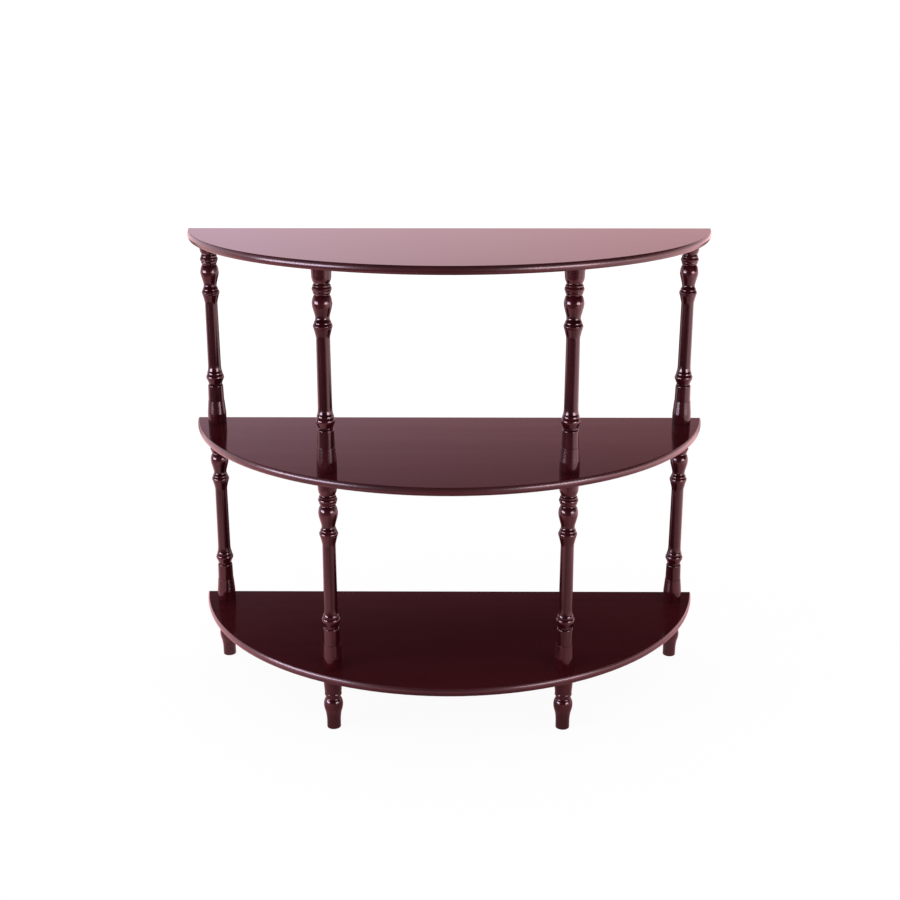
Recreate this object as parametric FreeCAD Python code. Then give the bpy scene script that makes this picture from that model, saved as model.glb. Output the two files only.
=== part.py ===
import FreeCAD, Part
import math
import os

from FreeCAD import Vector

os.makedirs("parts", exist_ok=True)

# Half-moon console table with three panels on four columns of turned posts.
# The origin is on the floor under the middle of the table. +X runs to the right as seen from the front,
# +Y to the straight back edge and +Z up. All sizes are in millimetres.

# Panels
panel_width = 800.0
panel_depth = 348.0
panel_thickness = 12.0
front_edge_bow = 2.0
edge_easing = 0.8

# Places of the post axes on the panels
back_post_end_inset = 35.5
back_post_edge_inset = 27.0
front_post_spacing = 339.0
front_post_edge_inset = 34.5

# Small round that sanding and lacquer leave on the ledges and ends of the turned pieces
turned_easing = 0.4

# Post, from the base up to its shaft
post_height = 288.0
base_diameter = 28.6
base_height = 14.6
flare_diameter = 25.0
flare_height = 20.0
column_diameter = 24.2
column_top_diameter = 23.2
column_height = 23.4
shoulder_height = 2.6
groove_diameter = 20.6
groove_height = 2.4
bead_skirt_diameter = 26.0
bead_skirt_height = 6.4
bead_diameter = 27.4
bead_lower_height = 2.6
bead_upper_height = 5.0
reed_diameter = 24.0
reed_height = 5.4
reed_top_diameter = 21.4
shaft_cove_height = 9.0
shaft_bottom_diameter = 19.8

# Post, from the shaft up to its cup
shaft_top_diameter = 18.9
bell_cove_height = 5.5
bell_bottom_diameter = 20.4
bell_height = 8.6
bell_diameter = 24.6
collar_ledge_diameter = 25.2
collar_ledge_height = 1.1
collar_diameter = 27.0
collar_lower_height = 2.4
collar_upper_height = 3.8
collar_reed_diameter = 23.8
collar_reed_height = 3.4
collar_reed_top_diameter = 21.8
vase_foot_cove_height = 3.9
vase_foot_diameter = 19.6
vase_stem_height = 4.5
vase_stem_diameter = 21.0
vase_cone_height = 10.0
vase_cone_diameter = 26.2
vase_belly_height = 6.0
vase_diameter = 27.7
vase_upper_height = 9.5
vase_top_diameter = 23.4
neck_cove_height = 1.8
neck_diameter = 21.8
ring_cove_height = 2.7
ring_ledge_diameter = 24.4
ring_ledge_height = 2.2
ring_diameter = 27.2
ring_half_height = 3.1
cup_neck_cove_height = 2.6
cup_neck_diameter = 21.6
cup_bowl_height = 10.0
cup_bowl_diameter = 26.9
cup_wall_height = 12.6
cup_diameter = 28.4

# Foot, from the floor up
foot_height = 88.0
foot_sole_diameter = 18.8
foot_sole_round_height = 1.0
foot_toe_diameter = 20.4
foot_toe_height = 9.0
foot_ankle_height = 17.0
foot_ankle_diameter = 24.0
foot_bulb_lower_height = 11.4
foot_bulb_diameter = 28.2
foot_bulb_upper_height = 9.2
foot_bulb_top_diameter = 23.4
foot_neck_cove_height = 2.6
foot_neck_diameter = 22.0
foot_ring_ledge_diameter = 23.6
foot_ring_half_height = 2.0
foot_ring_diameter = 25.2
foot_ring_top_diameter = 24.4
foot_top_diameter = 28.8
foot_top_height = 3.6

# Studs and threaded inserts that hold the columns together
stud_diameter = 6.0
stud_wood_length = 30.0
stud_point_diameter = 2.0
stud_point_height = 5.0
stud_end_chamfer = 0.8
stud_end_gap = 1.0
stud_hole_clearance = 0.5
insert_wall = 1.5
insert_length = 12.0
top_panel_cover = 3.0
drill_spare = 1.0

# Levels, from the floor up
bottom_shelf_level = foot_height
lower_post_level = bottom_shelf_level + panel_thickness
middle_shelf_level = lower_post_level + post_height
upper_post_level = middle_shelf_level + panel_thickness
top_panel_level = upper_post_level + post_height

# The curved front edge is an arc whose centre lies on the table's centre line
back_edge_y = panel_depth / 2
arc_radius = (panel_width**2 / 4 + panel_depth**2) / (2 * panel_depth)
arc_centre_y = back_edge_y + arc_radius - panel_depth

back_post_x = panel_width / 2 - back_post_end_inset
back_post_y = back_edge_y - back_post_edge_inset
front_post_x = front_post_spacing / 2
front_post_y = arc_centre_y - math.sqrt((arc_radius - front_post_edge_inset) ** 2 - front_post_x**2)
columns = {
    "back_left": (-back_post_x, back_post_y),
    "back_right": (back_post_x, back_post_y),
    "front_left": (-front_post_x, front_post_y),
    "front_right": (front_post_x, front_post_y),
}

UP = Vector(0, 0, 1)
FULL_TURN = 360

# Shapes that a cut on the lathe can have: a bead bulges outwards and a cove is hollowed inwards
COVE, STRAIGHT, BEAD = -1, 0, 1


def revolve(edges):
    """Solid made by turning a closed outline in the XZ plane about the Z axis."""
    return Part.Face(Part.Wire(edges)).revolve(Vector(0, 0, 0), UP, FULL_TURN)


def rod(diameter, height, x=0.0, y=0.0, z=0.0):
    """Upright cylinder that starts at the height z."""
    return Part.makeCylinder(diameter / 2, height, Vector(x, y, z))


def cut_edge(start, end, shape):
    """Outline of one cut. An arc spans at most a quarter turn and is upright or level at one of its ends."""
    if shape == STRAIGHT:
        return Part.makeLine(start, end)
    chord = end - start
    short_leg, long_leg = sorted([abs(chord.x), chord.z])
    sagitta = chord.Length / 2 * math.tan(math.atan2(short_leg, long_leg) / 2)
    outwards = Vector(chord.z, 0, -chord.x).normalize()
    middle = (start + end) / 2 + outwards * (shape * sagitta)
    return Part.Arc(start, middle, end).toShape()


def turned(bottom_diameter, cuts):
    """Lathe-turned solid on the origin. Each cut has a shape, the diameter that it reaches and a rise."""
    tip = Vector(bottom_diameter / 2, 0, 0)
    edges = [Part.makeLine(Vector(0, 0, 0), tip)]
    for shape, diameter, rise in cuts:
        end = Vector(diameter / 2, 0, tip.z + rise)
        edges.append(cut_edge(tip, end, shape))
        tip = end
    top_centre = Vector(0, 0, tip.z)
    edges += [Part.makeLine(tip, top_centre), Part.makeLine(top_centre, Vector(0, 0, 0))]
    return revolve(edges)


def rise_of(cuts):
    """Height that the cuts take up together."""
    return sum(rise for _, _, rise in cuts)


def turned_post():
    """Post with its base on the origin and no holes yet. The shaft takes up what the turnings leave."""
    base = [
        (BEAD, base_diameter, turned_easing),
        (STRAIGHT, base_diameter, base_height),
        (STRAIGHT, flare_diameter, flare_height),
        (BEAD, column_diameter, turned_easing),
        (STRAIGHT, column_top_diameter, column_height),
        (BEAD, groove_diameter, shoulder_height),
        (STRAIGHT, groove_diameter, groove_height),
        (STRAIGHT, bead_skirt_diameter, bead_skirt_height),
        (BEAD, bead_diameter, bead_lower_height),
        (BEAD, reed_diameter, bead_upper_height),
        (BEAD, reed_top_diameter, reed_height),
        (COVE, shaft_bottom_diameter, shaft_cove_height),
    ]
    head = [
        (COVE, bell_bottom_diameter, bell_cove_height),
        (STRAIGHT, bell_diameter, bell_height),
        (BEAD, collar_ledge_diameter, turned_easing),
        (STRAIGHT, collar_ledge_diameter, collar_ledge_height),
        (BEAD, collar_diameter, collar_lower_height),
        (BEAD, collar_reed_diameter, collar_upper_height),
        (BEAD, collar_reed_top_diameter, collar_reed_height),
        (COVE, vase_foot_diameter, vase_foot_cove_height),
        (COVE, vase_stem_diameter, vase_stem_height),
        (STRAIGHT, vase_cone_diameter, vase_cone_height),
        (BEAD, vase_diameter, vase_belly_height),
        (BEAD, vase_top_diameter, vase_upper_height),
        (COVE, neck_diameter, neck_cove_height),
        (COVE, ring_ledge_diameter, ring_cove_height),
        (STRAIGHT, ring_ledge_diameter, ring_ledge_height),
        (BEAD, ring_diameter, ring_half_height),
        (BEAD, ring_ledge_diameter, ring_half_height),
        (STRAIGHT, ring_ledge_diameter, ring_ledge_height),
        (COVE, cup_neck_diameter, cup_neck_cove_height),
        (BEAD, cup_bowl_diameter, cup_bowl_height),
        (STRAIGHT, cup_diameter, cup_wall_height),
        (BEAD, cup_diameter - 2 * turned_easing, turned_easing),
    ]
    shaft = (STRAIGHT, shaft_top_diameter, post_height - rise_of(base) - rise_of(head))
    return turned(base_diameter - 2 * turned_easing, [*base, shaft, *head])


def turned_foot():
    """Foot with its sole on the origin and no hole yet. The flare under its top takes up what is left."""
    ankle = [
        (BEAD, foot_toe_diameter, foot_sole_round_height),
        (STRAIGHT, foot_toe_diameter, foot_toe_height),
        (COVE, foot_ankle_diameter, foot_ankle_height),
        (BEAD, foot_bulb_diameter, foot_bulb_lower_height),
        (BEAD, foot_bulb_top_diameter, foot_bulb_upper_height),
        (COVE, foot_neck_diameter, foot_neck_cove_height),
        (COVE, foot_ring_ledge_diameter, foot_neck_cove_height),
        (BEAD, foot_ring_diameter, foot_ring_half_height),
        (BEAD, foot_ring_top_diameter, foot_ring_half_height),
    ]
    top = [
        (STRAIGHT, foot_top_diameter, foot_top_height),
        (BEAD, foot_top_diameter - 2 * turned_easing, turned_easing),
    ]
    flare = (STRAIGHT, foot_top_diameter, foot_height - rise_of(ankle) - rise_of(top))
    return turned(foot_sole_diameter, [*ankle, flare, *top])


def rim_easing(bow_centre, bow_radius, side):
    """Small arc that eases the bowed rim into a flat face, the upper face for side 1 and the lower for -1."""
    face_normal = UP * side
    rise = panel_thickness / 2 - edge_easing
    reach = math.sqrt((bow_radius - edge_easing) ** 2 - rise**2)
    to_centre = Vector(reach, 0, side * rise)
    centre = bow_centre + to_centre
    outwards = to_centre.normalize()
    halfway = (outwards + face_normal).normalize()
    return [centre + direction * edge_easing for direction in (face_normal, halfway, outwards)]


def saw_block():
    """Block that holds all in front of the saw cut along the back, with the cut's two long edges eased."""
    side = 2 * arc_radius
    block = Part.makeBox(side, side, panel_thickness, Vector(-arc_radius, back_edge_y - side, 0))
    back_edges = [
        edge for edge in block.Edges
        if abs(edge.CenterOfMass.x) < edge_easing and edge.CenterOfMass.y > back_edge_y - edge_easing
    ]
    return block.makeFillet(edge_easing, back_edges)


def panel_blank():
    """Half-moon board that starts at the height 0: a round disc with a bowed rim, sawn along the back."""
    bow_radius = (panel_thickness**2 / 4 + front_edge_bow**2) / (2 * front_edge_bow)
    bow_centre = Vector(arc_radius - bow_radius, 0, panel_thickness / 2)
    lower_flat, lower_halfway, lower_bow = rim_easing(bow_centre, bow_radius, -1)
    upper_flat, upper_halfway, upper_bow = rim_easing(bow_centre, bow_radius, 1)
    underside_centre = Vector(0, 0, 0)
    top_centre = Vector(0, 0, panel_thickness)
    disc = revolve([
        Part.makeLine(underside_centre, lower_flat),
        Part.Arc(lower_flat, lower_halfway, lower_bow).toShape(),
        Part.Arc(lower_bow, Vector(arc_radius, 0, panel_thickness / 2), upper_bow).toShape(),
        Part.Arc(upper_bow, upper_halfway, upper_flat).toShape(),
        Part.makeLine(upper_flat, top_centre),
        Part.makeLine(top_centre, underside_centre),
    ])
    # A quarter turn brings the start of the revolved faces to the back, where the saw takes it off
    disc.rotate(Vector(0, 0, 0), UP, FULL_TURN / 4)
    disc.translate(Vector(0, arc_centre_y, 0))
    return disc.common(saw_block())


def drilled_panel(level, hole_diameter, hole_depth):
    """Panel at its level, with one hole from below for each column."""
    panel = panel_blank()
    for x, y in columns.values():
        panel = panel.cut(rod(hole_diameter, hole_depth, x, y))
    panel.translate(UP * level)
    return panel


def stud(reach):
    """Stud with its wood thread below the origin and a machine thread that stands up by its reach."""
    blank = [
        (STRAIGHT, stud_diameter, stud_point_height),
        (STRAIGHT, stud_diameter, stud_wood_length - stud_point_height + reach - stud_end_chamfer),
        (STRAIGHT, stud_diameter - 2 * stud_end_chamfer, stud_end_chamfer),
    ]
    solid = turned(stud_point_diameter, blank)
    solid.translate(UP * -stud_wood_length)
    return solid


def threaded_insert(length):
    """Plain sleeve with its bottom end on the origin, bored to the stud's thread."""
    return rod(insert_diameter, length).cut(rod(stud_diameter, length))


def upside_down(shape):
    """The shape turned over about the X axis through the origin."""
    flipped = shape.copy()
    flipped.rotate(Vector(0, 0, 0), Vector(1, 0, 0), FULL_TURN / 2)
    return flipped


# Holes that the studs and inserts need, the ones under the top panel stopping below its upper face
insert_diameter = stud_diameter + 2 * insert_wall
insert_hole_depth = insert_length + drill_spare
panel_insert_hole_depth = panel_thickness - top_panel_cover
panel_insert_length = panel_insert_hole_depth - drill_spare
stud_hole_depth = stud_wood_length + drill_spare
through_diameter = stud_diameter + 2 * stud_hole_clearance

# The three panels: blind holes for inserts under the top, through holes for studs in the shelves
nodes = {
    "top_panel": drilled_panel(top_panel_level, insert_diameter, panel_insert_hole_depth),
    "middle_shelf": drilled_panel(middle_shelf_level, through_diameter, panel_thickness),
    "bottom_shelf": drilled_panel(bottom_shelf_level, through_diameter, panel_thickness),
}

# Posts and feet with their blind end holes
plain_post = turned_post().cut(rod(stud_diameter, stud_hole_depth))
upper_post = plain_post.cut(rod(stud_diameter, stud_hole_depth, z=post_height - stud_hole_depth))
lower_post = plain_post.cut(rod(insert_diameter, insert_hole_depth, z=post_height - insert_hole_depth))
foot = turned_foot().cut(rod(insert_diameter, insert_hole_depth, z=foot_height - insert_hole_depth))

# Studs hang from a post's base through the shelf below it, or stand up from an upper post into the top
shelf_stud = upside_down(stud(panel_thickness + insert_length - stud_end_gap))
top_stud = stud(panel_insert_length - stud_end_gap)
end_insert = threaded_insert(insert_length)
top_insert = threaded_insert(panel_insert_length)

# One column holds these pieces, each at its own height
column_pieces = {
    "foot": (foot, 0.0),
    "foot_insert": (end_insert, foot_height - insert_length),
    "bottom_stud": (shelf_stud, lower_post_level),
    "lower_post": (lower_post, lower_post_level),
    "lower_post_insert": (end_insert, middle_shelf_level - insert_length),
    "middle_stud": (shelf_stud, upper_post_level),
    "upper_post": (upper_post, upper_post_level),
    "top_stud": (top_stud, top_panel_level),
    "top_panel_insert": (top_insert, top_panel_level),
}

for place, (x, y) in columns.items():
    for piece, (shape, level) in column_pieces.items():
        placed = shape.copy()
        placed.translate(Vector(x, y, level))
        nodes[f"{piece}_{place}"] = placed

for name, shape in nodes.items():
    (solid,) = shape.Solids
    solid.exportStep(f"parts/{name}.step")
    print(name, solid.isValid(), round(solid.Volume, 1))
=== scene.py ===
import math

import bmesh
import bpy
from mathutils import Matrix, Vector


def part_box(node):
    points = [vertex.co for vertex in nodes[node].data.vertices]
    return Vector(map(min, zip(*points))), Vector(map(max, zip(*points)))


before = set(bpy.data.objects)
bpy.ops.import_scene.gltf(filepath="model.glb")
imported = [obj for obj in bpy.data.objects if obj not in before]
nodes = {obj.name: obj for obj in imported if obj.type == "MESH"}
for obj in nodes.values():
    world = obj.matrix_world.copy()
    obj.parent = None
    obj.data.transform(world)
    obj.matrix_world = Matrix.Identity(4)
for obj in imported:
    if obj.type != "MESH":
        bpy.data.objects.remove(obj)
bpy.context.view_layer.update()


# Feet. Each is a short hardwood turning that tapers to a flat sole and carries one corner of the bottom
# shelf. The wood is stained a dark cherry red and sprayed with clear gloss lacquer, and a brass insert is
# pressed into its top end.
places = ("back_left", "back_right", "front_left", "front_right")


class Shade:
    """One output of a shader node, so that sums on it read as plain arithmetic."""

    def __init__(self, tree, socket):
        self.tree = tree
        self.socket = socket

    @classmethod
    def node(cls, tree, kind, settings, inputs, output=0):
        """Adds a node, sets it up, then fills its sockets with values or links."""
        made = tree.nodes.new(kind)
        for name, value in settings.items():
            if name == "stops":
                for _ in value[2:]:
                    made.color_ramp.elements.new(1.0)
                for stop, (place, colour) in zip(made.color_ramp.elements, value):
                    stop.position = place
                    stop.color = (*colour, 1.0)
            else:
                setattr(made, name, value)
        for name, value in inputs.items():
            if isinstance(value, Shade):
                tree.links.new(value.socket, made.inputs[name])
            else:
                made.inputs[name].default_value = value
        return cls(tree, made.outputs[output])

    def math(self, operation, first, second):
        return Shade.node(self.tree, "ShaderNodeMath", {"operation": operation}, {0: first, 1: second})

    def __add__(self, other):
        return self.math("ADD", self, other)

    def __radd__(self, other):
        return self.math("ADD", other, self)

    def __sub__(self, other):
        return self.math("SUBTRACT", self, other)

    def __rsub__(self, other):
        return self.math("SUBTRACT", other, self)

    def __mul__(self, other):
        return self.math("MULTIPLY", self, other)

    def __rmul__(self, other):
        return self.math("MULTIPLY", other, self)

    def __neg__(self):
        return self.math("MULTIPLY", self, -1.0)

    def __abs__(self):
        return self.math("ABSOLUTE", self, 0.0)

    def rise(self, low, high):
        """Eased rise from 0 at the low value to 1 at the high one."""
        inputs = {"Value": self, "From Min": low, "From Max": high}
        return Shade.node(self.tree, "ShaderNodeMapRange", {"interpolation_type": "SMOOTHSTEP"}, inputs)

    def axis(self, letter):
        """X, Y or Z of this place or direction."""
        return Shade.node(self.tree, "ShaderNodeSeparateXYZ", {}, {"Vector": self}, letter)

    def length(self):
        """Distance of this place from the origin."""
        return Shade.node(self.tree, "ShaderNodeVectorMath", {"operation": "LENGTH"}, {0: self}, "Value")

    def moved(self, shift=(0.0, 0.0, 0.0), scale=(1.0, 1.0, 1.0)):
        """This place on axes that are scaled, then shifted."""
        inputs = {"Vector": self, "Location": shift, "Scale": scale}
        return Shade.node(self.tree, "ShaderNodeMapping", {}, inputs)

    def noise(self, scale, detail=2.0, roughness=0.5):
        """Soft noise that is read at this place."""
        inputs = {"Vector": self, "Scale": scale, "Detail": detail, "Roughness": roughness}
        return Shade.node(self.tree, "ShaderNodeTexNoise", {}, inputs)

    def ramp(self, stops):
        """Colour that runs through the stops as this value rises."""
        return Shade.node(self.tree, "ShaderNodeValToRGB", {"stops": stops}, {"Fac": self})


# Stain under the lacquer, from the dark pores and coves to the rubbed crests
CHERRY = [
    (0.30, (0.012, 0.0014, 0.0021)),
    (0.50, (0.026, 0.0030, 0.0045)),
    (0.72, (0.052, 0.0068, 0.0095)),
]
LACQUER_IOR = 1.5
COVE_RADIUS = 0.0100
CREST_RADIUS = 0.0140
LATHE_RIPPLE = 0.000006
BRASS_RIPPLE = 0.00004
FOOT_GRAIN_STEP = 0.31


def finish(name, build):
    """New material with the colour, roughness and bump height that build makes from the place."""
    material = bpy.data.materials.new(name)
    material.use_nodes = True
    tree = material.node_tree
    shader = tree.nodes["Principled BSDF"]
    place = Shade.node(tree, "ShaderNodeTexCoord", {}, {}, "Object")
    colour, roughness, height, depth = build(place, shader)
    bump = Shade.node(tree, "ShaderNodeBump", {}, {"Height": height, "Distance": depth})
    tree.links.new(colour.socket, shader.inputs["Base Color"])
    tree.links.new(roughness.socket, shader.inputs["Roughness"])
    tree.links.new(bump.socket, shader.inputs["Normal"])
    return material


def turned_cherry(name, axis_x, axis_y, tone):
    """Stained turning about an upright axis: long fine grain, lathe rings and paler crests."""

    def build(place, shader):
        shader.inputs["IOR"].default_value = LACQUER_IOR
        centred = place.moved(shift=(-axis_x, -axis_y, tone))
        along = centred.moved((tone, tone, tone), (1.0, 1.0, 0.05))
        pores = along.noise(1300.0, 3.0, 0.65)
        figure = along.noise(170.0)
        blotches = centred.noise(30.0)
        radius = centred.moved(scale=(1.0, 1.0, 0.0)).length()
        crest = radius.rise(COVE_RADIUS, CREST_RADIUS)
        stain = 0.40 * figure + 0.35 * pores + 0.25 * blotches + 0.12 * crest - 0.11

        smears = centred.noise(50.0, 3.0)
        roughness = 0.09 + 0.07 * smears + 0.03 * crest

        rings = centred.moved(scale=(0.03, 0.03, 1.0)).noise(900.0)
        skin = 0.6 * rings + 0.4 * centred.noise(420.0)
        return stain.ramp(CHERRY), roughness, skin, LATHE_RIPPLE

    return finish(name, build)


def dress(node, material):
    """Gives a solid of the frame its finish."""
    for slot in nodes[node].material_slots:
        slot.material = material


def column_axis(place):
    """Middle of a column, from the box of its foot."""
    low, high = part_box(f"foot_{place}")
    return (low.x + high.x) / 2, (low.y + high.y) / 2


def turned_brass(place, shader):
    """Plain brass sleeve, dull from handling, with fine rings from the lathe."""
    shader.inputs["Metallic"].default_value = 1.0
    tarnish = place.noise(260.0, 3.0)
    stops = [(0.35, (0.42, 0.28, 0.09)), (0.55, (0.56, 0.40, 0.14)), (0.75, (0.63, 0.47, 0.19))]
    rings = place.moved(scale=(0.02, 0.02, 1.0)).noise(2600.0)
    return tarnish.ramp(stops), 0.24 + 0.18 * tarnish, rings, BRASS_RIPPLE


brass = finish("turned_brass", turned_brass)
for number, place in enumerate(places):
    cherry = turned_cherry(f"cherry_foot_{place}", *column_axis(place), FOOT_GRAIN_STEP * number)
    dress(f"foot_{place}", cherry)
    dress(f"foot_insert_{place}", brass)


# Bottom shelf. A half-moon board, 12 mm thick, with a bowed front edge, stained and lacquered all over like
# the turnings. The four columns clamp it, and their studs pass through it.
EDGE_HAZE = 0.42
LACQUER_WAVE = 0.0001


def board_cherry(name, tone):
    """Stained board: long straight grain, flat faces painted paler as if lit from above and the edge darker
    as painted shade, and arrises that are rubbed through a little.
    """

    def build(place, shader):
        shader.inputs["IOR"].default_value = LACQUER_IOR
        along = place.moved((tone, tone, tone), (0.03, 1.0, 1.0))
        pores = along.noise(1100.0, 3.0, 0.65)
        wander = place.moved((tone, 0.0, 0.0), (0.12, 1.0, 1.0)).noise(16.0, 3.0)
        figure = along.noise(70.0)
        blotches = place.noise(8.0)
        normal = Shade.node(place.tree, "ShaderNodeNewGeometry", {}, {}, "Normal")
        lean = abs(normal.axis("Z"))
        face = lean.rise(0.55, 0.98)
        arris = lean.rise(0.64, 0.74) * (1.0 - lean.rise(0.90, 0.99))
        rubbed = arris * place.noise(60.0, 3.0).rise(0.42, 0.62)
        grain = 0.30 * figure + 0.25 * pores + 0.25 * wander + 0.20 * blotches
        # Painted light and shade: the flat faces are made paler than the edge, as if lit from above
        stain = grain + 0.18 * face + 0.03 + 0.12 * rubbed

        smears = place.noise(16.0, 4.0)
        roughness = 0.09 + 0.03 * smears + 0.12 * (1.0 - face)

        # Hands dull the upper half of the edge
        shader.inputs["Coat Roughness"].default_value = EDGE_HAZE
        handled = 0.65 * (1.0 - face) * normal.axis("Z").rise(-0.25, 0.2)
        place.tree.links.new(handled.socket, shader.inputs["Coat Weight"])

        waves = place.moved((tone, tone, 0.0), (0.06, 1.0, 1.0)).noise(22.0)
        skin = waves + 0.03 * face * place.noise(320.0)
        return stain.ramp(CHERRY), roughness, skin, LACQUER_WAVE

    return finish(name, build)


dress("bottom_shelf", board_cherry("cherry_bottom_shelf", tone=0.0))


# Lower posts. Each is one long turning with a flared base, a bead, a tapered shaft, a vase and a cup, stained
# and lacquered like the feet. A zinc-plated stud from its base screws through the shelf into the foot, and a
# brass insert in its cup takes the stud of the post above.
THREAD_PITCH = 0.001
THREAD_DEPTH = 0.0002
LOWER_POST_GRAIN = 2.0
LOWER_POST_GRAIN_STEP = 0.37


def zinc_plate(place, shader):
    """Dull grey zinc on a rolled thread, whose turns show as rings."""
    shader.inputs["Metallic"].default_value = 1.0
    bloom = place.noise(420.0, 3.0)
    stops = [(0.35, (0.36, 0.37, 0.38)), (0.55, (0.50, 0.51, 0.52)), (0.75, (0.60, 0.60, 0.59))]
    turns = place.axis("Z") * (2 * math.pi / THREAD_PITCH)
    thread = Shade.node(place.tree, "ShaderNodeMath", {"operation": "SINE"}, {0: turns})
    return bloom.ramp(stops), 0.28 + 0.20 * bloom, thread, THREAD_DEPTH


zinc = finish("zinc_plate", zinc_plate)
for number, place in enumerate(places):
    tone = LOWER_POST_GRAIN + LOWER_POST_GRAIN_STEP * number
    cherry = turned_cherry(f"cherry_lower_post_{place}", *column_axis(place), tone)
    dress(f"lower_post_{place}", cherry)
    dress(f"bottom_stud_{place}", zinc)
    dress(f"lower_post_insert_{place}", brass)


# Middle shelf. The same half-moon board again, clamped between the lower and the upper posts.
# Its stain and lacquer are those of the bottom shelf, with a grain of its own.
dress("middle_shelf", board_cherry("cherry_middle_shelf", tone=1.7))


# Upper posts. The same turnings as the lower ones, with the same finish. A stud at each end holds them: the
# lower one passes through the middle shelf and the upper one stands up into the top panel.
UPPER_POST_GRAIN = 5.0
UPPER_POST_GRAIN_STEP = 0.41
for number, place in enumerate(places):
    tone = UPPER_POST_GRAIN + UPPER_POST_GRAIN_STEP * number
    cherry = turned_cherry(f"cherry_upper_post_{place}", *column_axis(place), tone)
    dress(f"upper_post_{place}", cherry)
    dress(f"middle_stud_{place}", zinc)
    dress(f"top_stud_{place}", zinc)


# Top panel. The same board without through holes. Brass inserts in its underside take the studs of the upper
# posts, so that its lacquered face is plain.
dress("top_panel", board_cherry("cherry_top_panel", tone=3.1))
for place in places:
    dress(f"top_panel_insert_{place}", brass)


# Floor. A plain white studio floor, which keeps the table's soft shadow. In the gloss of the table it glows
# with
# painted light: dim close by, under a painted shadow of the table, and in front of the middle, pale at the
# right and behind the left end, and fades out to the front.
FLOOR_REACH = 14.0
FLOOR_WHITE = 1.045
FAR_LIFT = 0.11
floor_mesh = bpy.data.meshes.new("floor")
floor_grid = bmesh.new()
bmesh.ops.create_grid(floor_grid, x_segments=1, y_segments=1, size=FLOOR_REACH)
floor_grid.to_mesh(floor_mesh)
floor_grid.free()
floor = bpy.data.objects.new("floor", floor_mesh)
bpy.context.scene.collection.objects.link(floor)


def ray(tree, kind):
    """1 for rays of this kind and 0 for others."""
    return Shade.node(tree, "ShaderNodeLightPath", {}, {}, kind)


def mixed_colour(factor, first, second):
    """Colour between two others."""
    inputs = {"Factor": factor, "A": first, "B": second}
    return Shade.node(factor.tree, "ShaderNodeMix", {"data_type": "RGBA"}, inputs, "Result")


def scaled_colour(colour, level):
    """Colour made brighter or dimmer."""
    inputs = {0: colour, "Scale": level}
    return Shade.node(level.tree, "ShaderNodeVectorMath", {"operation": "SCALE"}, inputs)


WHITE = (1.0, 1.0, 1.0, 1.0)
paper = bpy.data.materials.new("white_floor")
paper.use_nodes = True
tree = paper.node_tree
tree.nodes.remove(tree.nodes["Principled BSDF"])
spot = Shade.node(tree, "ShaderNodeTexCoord", {}, {}, "Object")
across = spot.axis("X")
back = spot.axis("Y")
seen = ray(tree, "Is Camera Ray") + ray(tree, "Is Transmission Ray")
mirrored = ray(tree, "Is Glossy Ray")
right_near = across.rise(0.0, 0.35)
right_side = across.rise(0.5, 1.3)
left_near = (-across).rise(0.0, 0.4)
left_end = (-across).rise(0.3, 0.9) * (back + 0.35 * across).rise(-0.25, 0.1)
front_fade = (-back - 0.45 * across).rise(0.75, 1.25)
behind = (back - abs(across)).rise(0.05, 0.45) * (1.0 - back.rise(3.4, 4.4))
far_right = across.rise(3.4, 4.4) * (1.0 - back.rise(-0.4, 0.6))
near_level = 0.33 + 0.36 * left_near + 0.22 * right_near + 0.95 * right_side
front_level = near_level * (1.0 - 0.82 * front_fade)
distance = spot.length()
# Painted shadow of the table on the floor, as it shows in the gloss: dimmer close to the table
painted_table_shadow = 0.6 + 0.4 * distance.rise(0.2, 0.55)
gloss_level = painted_table_shadow * (front_level + 0.4 * left_end + 1.8 * far_right) * (1.0 - 0.85 * behind)
white_level = FLOOR_WHITE + FAR_LIFT * distance.rise(0.8, 3.5)
gloss_tint = mixed_colour(right_side + left_end, (2.2, 1.0, 1.10, 1.0), (1.75, 1.0, 1.06, 1.0))
tint = mixed_colour(mirrored, WHITE, gloss_tint)
glow_colour = scaled_colour(tint, seen * white_level + mirrored * gloss_level)
matt = Shade.node(tree, "ShaderNodeBsdfDiffuse", {}, {"Color": (0.8, 0.8, 0.8, 1.0)})
glow = Shade.node(tree, "ShaderNodeEmission", {}, {"Color": glow_colour})
share = 0.9 * seen + mirrored
both = Shade.node(tree, "ShaderNodeMixShader", {}, {"Fac": share, 1: matt, 2: glow})
tree.links.new(both.socket, tree.nodes["Material Output"].inputs["Surface"])
floor_mesh.materials.append(paper)


# Backdrop. White for the camera, and a soft even fill for the wood. In the gloss it is a pale sheet behind
# the table that darkens upwards, cooler at the left and warmer at the right, with low pale walls at the sides
# and a dim room in front.
FILL = 0.65
ROOM = 0.03
world = bpy.data.worlds.new("studio")
bpy.context.scene.world = world
world.use_nodes = True
tree = world.node_tree
direction = Shade.node(tree, "ShaderNodeTexCoord", {}, {}, "Generated")
across = direction.axis("X")
back = direction.axis("Y")
up = direction.axis("Z")
seen = ray(tree, "Is Camera Ray") + ray(tree, "Is Transmission Ray")
mirrored = ray(tree, "Is Glossy Ray")
upwards = (up + 0.08 * across).ramp([
    (0.10, (1.06, 0.69, 0.77)),
    (0.18, (1.0, 0.64, 0.72)),
    (0.29, (0.55, 0.265, 0.31)),
    (0.34, (0.27, 0.128, 0.15)),
    (0.42, (0.03, 0.012, 0.016)),
])
sideways = (0.5 + 0.5 * across).ramp([
    (0.42, (1.05, 1.12, 1.18)),
    (0.50, (1.0, 1.0, 1.0)),
    (0.58, (0.95, 0.88, 0.84)),
])
side_wall = abs(across).rise(0.35, 0.6) * back.rise(0.15, 0.6) * (1.0 - up.rise(0.12, 0.3))
sheet = mixed_colour(side_wall, upwards, (1.4, 0.97, 1.06, 1.0))
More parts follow.
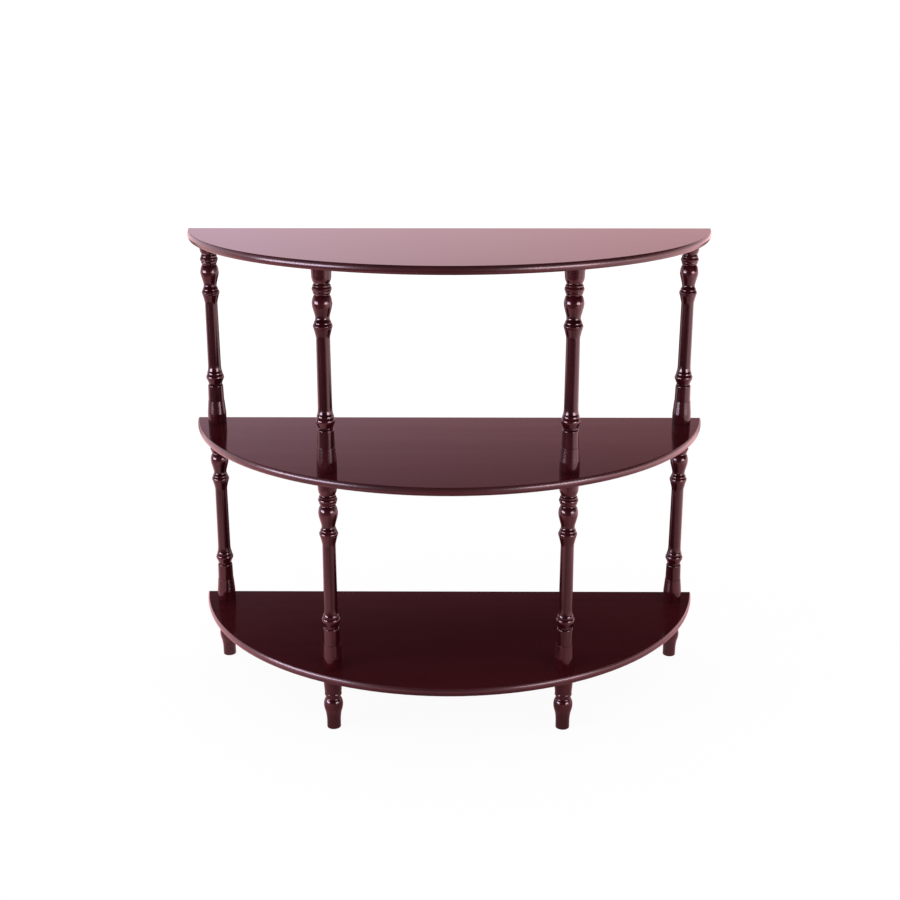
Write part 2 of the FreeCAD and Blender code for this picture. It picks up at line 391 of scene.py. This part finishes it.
surround = Shade.node(tree, "ShaderNodeVectorMath", {"operation": "MULTIPLY"}, {0: sheet, 1: sideways})
tint = mixed_colour(mirrored, WHITE, surround)
level = seen + mirrored * (ROOM + back.rise(-0.4, 0.3)) + (1.0 - seen) * (1.0 - mirrored) * FILL
tree.links.new(scaled_colour(tint, level).socket, tree.nodes["Background"].inputs["Color"])


# Lamps. A wide soft box stands low on each side in front of the table, about as high as its top, the left one
# cooler and brighter than the right one.
LAMP_DISTANCE = 3.3
LAMP_MIDDLE = 0.50
LAMP_HEIGHT = 0.60


def soft_box(name, azimuth, width, glare, colour):
    """Upright area lamp that faces the table, of a given brightness."""
    lamp = bpy.data.lights.new(name, "AREA")
    lamp.shape = "RECTANGLE"
    lamp.size = width
    lamp.size_y = LAMP_HEIGHT
    lamp.energy = glare * math.pi * width * LAMP_HEIGHT
    lamp.color = colour
    holder = bpy.data.objects.new(name, lamp)
    turn = math.radians(azimuth)
    across = LAMP_DISTANCE * math.sin(turn)
    forward = LAMP_DISTANCE * math.cos(turn)
    holder.location = (across, -forward, LAMP_MIDDLE)
    holder.rotation_euler = (math.pi / 2, 0.0, turn)
    holder.visible_camera = False
    bpy.context.scene.collection.objects.link(holder)


soft_box("left_soft_box", azimuth=-64.0, width=2.4, glare=20.0, colour=(1.0, 0.78, 0.98))
soft_box("right_soft_box", azimuth=47.0, width=1.9, glare=16.0, colour=(1.0, 0.72, 0.82))


# Camera. It stands in front of the middle of the table, a little above its top, and looks slightly down.
# Its lens and place were fitted to the outlines of the boards and posts.
DOWNWARD_TILT = 0.3025
LEFTWARD_TURN = 0.0055
camera_data = bpy.data.cameras.new("camera")
camera_data.lens = 53.56
camera_data.sensor_width = 36.0
camera = bpy.data.objects.new("camera", camera_data)
camera.location = (0.01247, -1.87639, 0.98533)
camera.rotation_euler = (math.pi / 2 - DOWNWARD_TILT, 0.0, LEFTWARD_TURN)
bpy.context.scene.collection.objects.link(camera)
bpy.context.scene.camera = camera
bpy.context.scene.view_settings.view_transform = "Standard"
